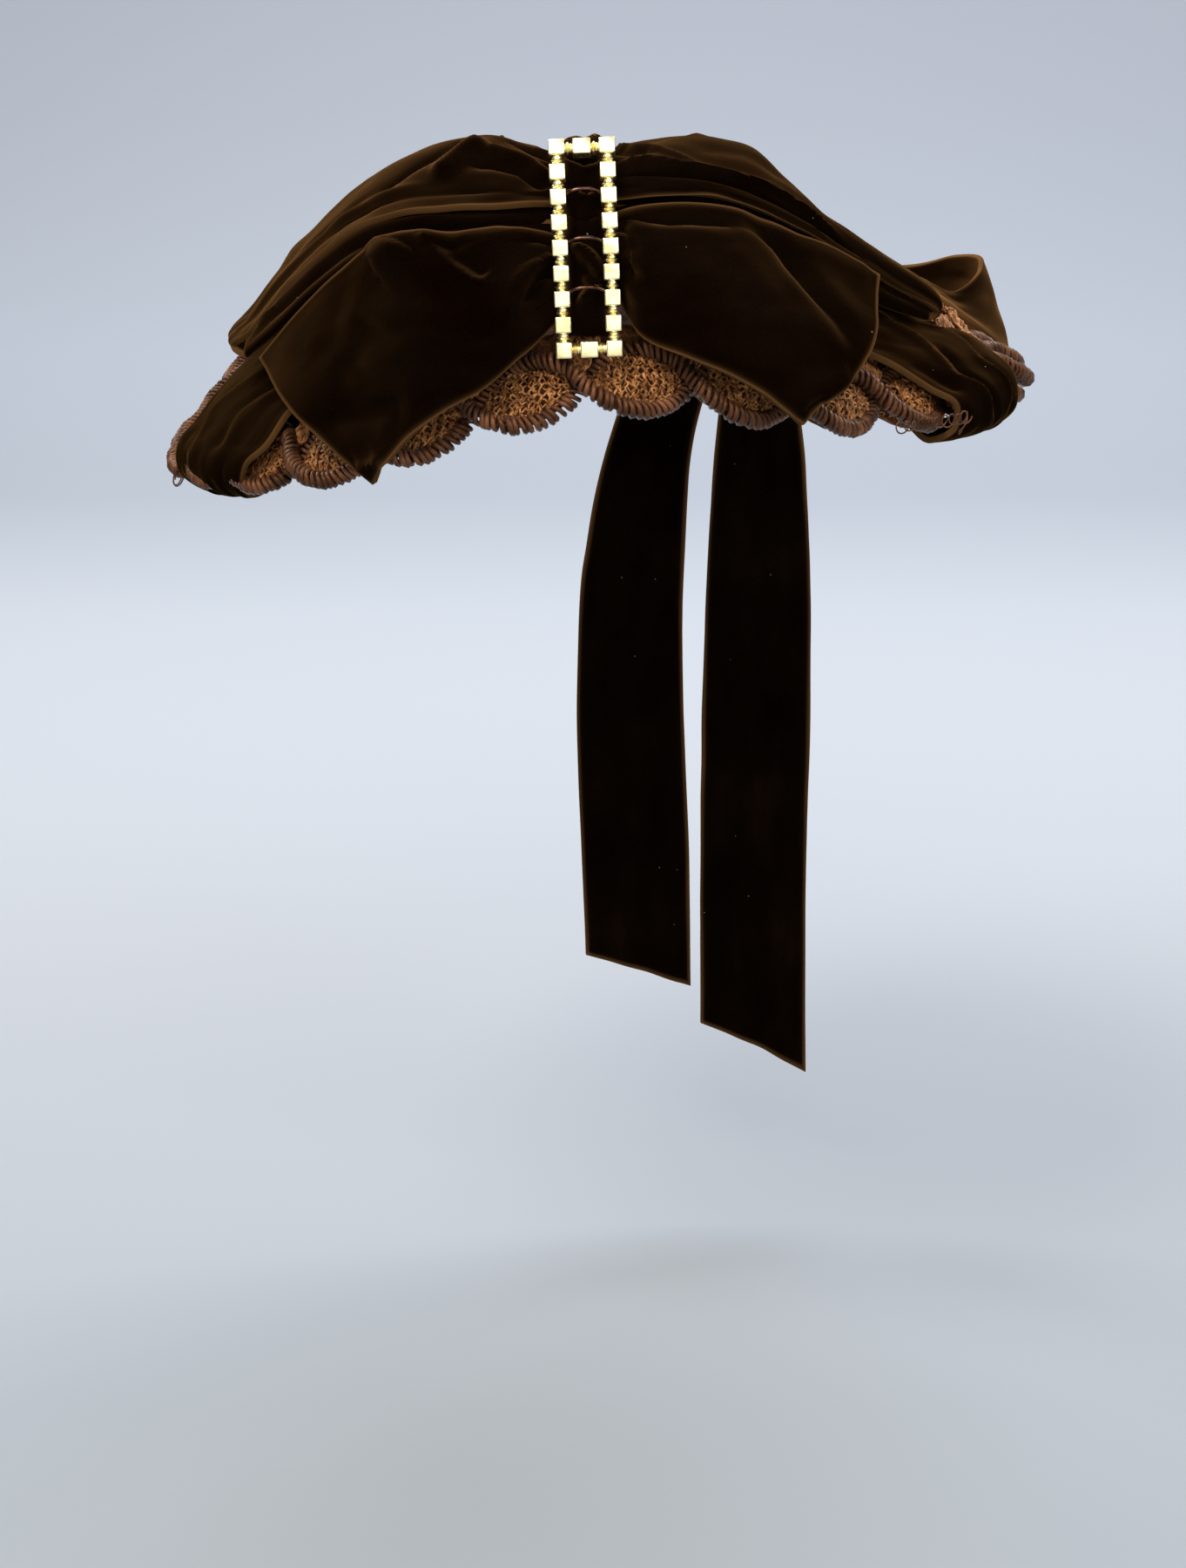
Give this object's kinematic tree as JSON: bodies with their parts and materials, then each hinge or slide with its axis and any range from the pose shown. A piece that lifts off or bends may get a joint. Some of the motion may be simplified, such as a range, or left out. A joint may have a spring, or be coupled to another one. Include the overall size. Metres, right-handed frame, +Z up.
{
  "type": "straw hat",
  "caption": "Small oval straw hat with a shallow crown, coiled straw edging, a wide dark velvet ribbon bow on the front, a beaded buckle and velvet ties hanging at the back.",
  "frame": {"origin": "the inside top of the crown, where the head carries the hat", "axes": "+Z up as the hat is worn, the bow faces -Y, +X is to the right of a viewer who looks at the bow"},
  "size_m": [0.2014, 0.2402, 0.2756],
  "materials": {
    "straw": "woven straw braid, satin",
    "straw_lace": "knotted straw lace, satin",
    "straw_coil": "tightly coiled straw cord, soft shine",
    "velvet": "dark brown velvet with a golden nap",
    "gilt": "pale gilt, polished beads",
    "bronze": "dark bronze wire"
  },
  "bodies": {
    "root": {"crown": "straw", "brim": "straw", "edge_lace": "straw_lace", "edge_coil_a": "straw_coil", "edge_coil_b": "straw_coil", "left_top_loop": "velvet", "right_top_loop": "velvet", "left_tail": "velvet", "right_tail": "velvet", "left_side_band": "velvet", "right_side_band": "velvet", "centre_knot": "velvet", "back_knot": "velvet", "back_loop_right": "velvet", "back_loop_left": "velvet", "left_tie": "velvet", "right_tie": "velvet", "buckle": "gilt", "buckle_wire_1": "bronze", "buckle_wire_2": "bronze", "buckle_wire_3": "bronze"}
  },
  "joints": []
}
